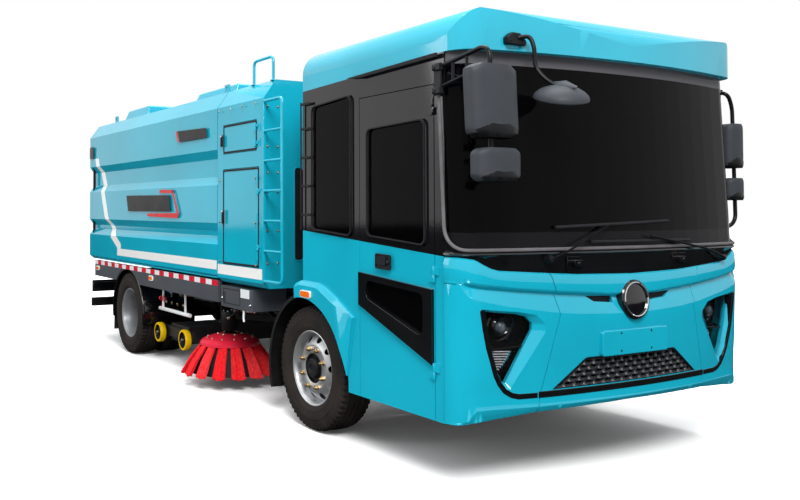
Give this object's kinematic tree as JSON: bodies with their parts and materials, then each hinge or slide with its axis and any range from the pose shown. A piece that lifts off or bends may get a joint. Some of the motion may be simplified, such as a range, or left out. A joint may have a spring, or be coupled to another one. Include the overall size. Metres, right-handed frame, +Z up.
{
  "type": "street washing and sweeping truck",
  "caption": "Two-axle cab-over washing and sweeping truck with a tipping waste hopper, side brushes, a lowering suction carriage and opening doors.",
  "frame": {"origin": "on the ground, under the middle of the vehicle's bounding box", "axes": "+X forward, +Y to the vehicle's left, +Z up"},
  "size_m": [7.14, 2.75, 2.7565],
  "materials": {
    "painted_panel": "gloss",
    "chassis_paint": "satin",
    "black_gloss": "gloss",
    "black_plastic": "matte",
    "glass": "gloss",
    "grey_paint": "satin",
    "tyre": "matte",
    "bare_steel": "satin",
    "seat_fabric": "matte",
    "lamp_lens": "gloss",
    "brush_bristle": "matte",
    "caster_tread": "satin",
    "white_paint": "gloss",
    "battery_case": "satin"
  },
  "bodies": {
    "truck": {"chassis_frame": "chassis_paint", "front_axle": "chassis_paint", "rear_axle": "chassis_paint", "battery_pack": "battery_case", "front_mudguards": "black_gloss", "rear_mudguards": "black_gloss", "cab_floor": "black_plastic", "cab_rear_wall": "black_plastic", "cab_sides": "painted_panel", "quarter_glass": "glass", "cab_roof": "painted_panel", "windscreen": "glass", "cowl": "black_gloss", "front_fascia": "painted_panel", "headlights": "black_gloss", "lower_grille": "black_plastic", "wipers": "black_gloss", "dashboard": "black_plastic", "seats": "seat_fabric", "side_mirrors": "black_plastic", "front_mirror": "black_plastic", "service_module": "painted_panel", "ladder": "painted_panel", "tool_boxes": "grey_paint", "side_rails": "grey_paint", "suction_pipe": "chassis_paint", "spray_bars": "white_paint", "rear_bumper": "chassis_paint", "tail_lamps": "lamp_lens"},
    "knuckle_right": {"knuckle_right": "chassis_paint"},
    "front_wheel_right": {"front_wheel_right": "tyre"},
    "rear_wheels_right": {"rear_wheels_right": "tyre"},
    "door_right": {"door_right": "painted_panel", "door_glass_right": "glass"},
    "service_door_right": {"service_door_right": "painted_panel"},
    "upper_door_right": {"upper_door_right": "painted_panel"},
    "brush_arm_right": {"brush_arm_right": "chassis_paint"},
    "side_brush_right": {"side_brush_right": "brush_bristle"},
    "knuckle_left": {"knuckle_left": "chassis_paint"},
    "front_wheel_left": {"front_wheel_left": "tyre"},
    "rear_wheels_left": {"rear_wheels_left": "tyre"},
    "door_left": {"door_left": "painted_panel", "door_glass_left": "glass"},
    "service_door_left": {"service_door_left": "painted_panel"},
    "upper_door_left": {"upper_door_left": "painted_panel"},
    "brush_arm_left": {"brush_arm_left": "chassis_paint"},
    "side_brush_left": {"side_brush_left": "brush_bristle"},
    "steering_wheel": {"steering_wheel": "black_plastic"},
    "hopper": {"hopper": "painted_panel"},
    "tailgate": {"tailgate": "painted_panel"},
    "lift_cylinders": {"lift_cylinders": "chassis_paint"},
    "lift_rods": {"lift_rods": "bare_steel"},
    "suction_carriage": {"suction_carriage": "chassis_paint"},
    "caster_front_right": {"caster_front_right": "caster_tread"},
    "caster_rear_right": {"caster_rear_right": "caster_tread"},
    "caster_front_left": {"caster_front_left": "caster_tread"},
    "caster_rear_left": {"caster_rear_left": "caster_tread"}
  },
  "joints": [
    {"name": "steer_right", "type": "hinge", "parent": "truck", "child": "knuckle_right", "pos_m": [1.55, -0.89, 0.4335], "axis": [0, 0, 1], "range_deg": [-35, 35]},
    {"name": "front_wheel_spin_right", "type": "hinge", "parent": "knuckle_right", "child": "front_wheel_right", "pos_m": [1.55, -1.04, 0.4335], "axis": [0, 1, 0], "continuous": true},
    {"name": "rear_wheel_spin_right", "type": "hinge", "parent": "truck", "child": "rear_wheels_right", "pos_m": [-2.15, -0.9, 0.4335], "axis": [0, 1, 0], "continuous": true},
    {"name": "door_swing_right", "type": "hinge", "parent": "truck", "child": "door_right", "pos_m": [2.9375, -1.209, 1.309], "axis": [0, 0, 1], "range_deg": [0, 70]},
    {"name": "service_door_swing_right", "type": "hinge", "parent": "truck", "child": "service_door_right", "pos_m": [0.853, -1.209, 1.485], "axis": [0, 0, 1], "range_deg": [0, 100]},
    {"name": "upper_door_swing_right", "type": "hinge", "parent": "truck", "child": "upper_door_right", "pos_m": [0.818, -1.209, 2.1275], "axis": [0, 0, 1], "range_deg": [0, 100]},
    {"name": "brush_arm_swing_right", "type": "hinge", "parent": "truck", "child": "brush_arm_right", "pos_m": [0.4, -0.56, 0.6], "axis": [0, 0, 1], "range_deg": [0, 25]},
    {"name": "side_brush_spin_right", "type": "hinge", "parent": "brush_arm_right", "child": "side_brush_right", "pos_m": [-0.19, -0.93, 0.43], "axis": [0, 0, 1], "continuous": true},
    {"name": "steer_left", "type": "hinge", "parent": "truck", "child": "knuckle_left", "pos_m": [1.55, 0.89, 0.4335], "axis": [0, 0, 1], "range_deg": [-35, 35]},
    {"name": "front_wheel_spin_left", "type": "hinge", "parent": "knuckle_left", "child": "front_wheel_left", "pos_m": [1.55, 1.04, 0.4335], "axis": [0, 1, 0], "continuous": true},
    {"name": "rear_wheel_spin_left", "type": "hinge", "parent": "truck", "child": "rear_wheels_left", "pos_m": [-2.15, 0.9, 0.4335], "axis": [0, 1, 0], "continuous": true},
    {"name": "door_swing_left", "type": "hinge", "parent": "truck", "child": "door_left", "pos_m": [2.9375, 1.209, 1.309], "axis": [0, 0, -1], "range_deg": [0, 70]},
    {"name": "service_door_swing_left", "type": "hinge", "parent": "truck", "child": "service_door_left", "pos_m": [0.853, 1.209, 1.485], "axis": [0, 0, -1], "range_deg": [0, 100]},
    {"name": "upper_door_swing_left", "type": "hinge", "parent": "truck", "child": "upper_door_left", "pos_m": [0.818, 1.209, 2.1275], "axis": [0, 0, -1], "range_deg": [0, 100]},
    {"name": "brush_arm_swing_left", "type": "hinge", "parent": "truck", "child": "brush_arm_left", "pos_m": [0.4, 0.56, 0.6], "axis": [0, 0, -1], "range_deg": [0, 25]},
    {"name": "side_brush_spin_left", "type": "hinge", "parent": "brush_arm_left", "child": "side_brush_left", "pos_m": [-0.19, 0.93, 0.43], "axis": [0, 0, 1], "continuous": true},
    {"name": "steering_wheel_turn", "type": "hinge", "parent": "truck", "child": "steering_wheel", "pos_m": [2.703, 0.56, 1.31], "axis": [-0.5736, 0, 0.8192], "range_deg": [-700, 700]},
    {"name": "hopper_tip", "type": "hinge", "parent": "truck", "child": "hopper", "pos_m": [-3.28, 0, 0.895], "axis": [0, -1, 0], "range_deg": [0, 45]},
    {"name": "tailgate_swing", "type": "hinge", "parent": "hopper", "child": "tailgate", "pos_m": [-3.38, 0, 2.573], "axis": [0, 1, 0], "range_deg": [0, 85]},
    {"name": "lift_cylinder_swing", "type": "hinge", "parent": "truck", "child": "lift_cylinders", "pos_m": [-3.1, 0, 0.55], "axis": [0, -1, 0], "range_deg": [0, 41.84]},
    {"name": "lift_rod_slide", "type": "slide", "parent": "lift_cylinders", "child": "lift_rods", "axis": [0.9476, 0, 0.3193], "range_m": [0, 0.2917]},
    {"name": "suction_lift", "type": "slide", "parent": "truck", "child": "suction_carriage", "axis": [0, 0, 1], "range_m": [-0.195, 0]},
    {"name": "caster_spin_front_right", "type": "hinge", "parent": "suction_carriage", "child": "caster_front_right", "pos_m": [-0.885, -1.065, 0.3], "axis": [0, 1, 0], "continuous": true},
    {"name": "caster_spin_rear_right", "type": "hinge", "parent": "suction_carriage", "child": "caster_rear_right", "pos_m": [-1.515, -1.065, 0.3], "axis": [0, 1, 0], "continuous": true},
    {"name": "caster_spin_front_left", "type": "hinge", "parent": "suction_carriage", "child": "caster_front_left", "pos_m": [-0.885, 1.065, 0.3], "axis": [0, 1, 0], "continuous": true},
    {"name": "caster_spin_rear_left", "type": "hinge", "parent": "suction_carriage", "child": "caster_rear_left", "pos_m": [-1.515, 1.065, 0.3], "axis": [0, 1, 0], "continuous": true}
  ],
  "couplings": [
    {"joint": "steer_left", "follows": "steer_right", "ratio": 1},
    {"joint": "steering_wheel_turn", "follows": "steer_right", "ratio": 20},
    {"joint": "lift_cylinder_swing", "follows": "hopper_tip", "ratio": 0.9295},
    {"joint": "lift_rod_slide", "follows": "hopper_tip", "m_per_rad": 0.3711}
  ]
}
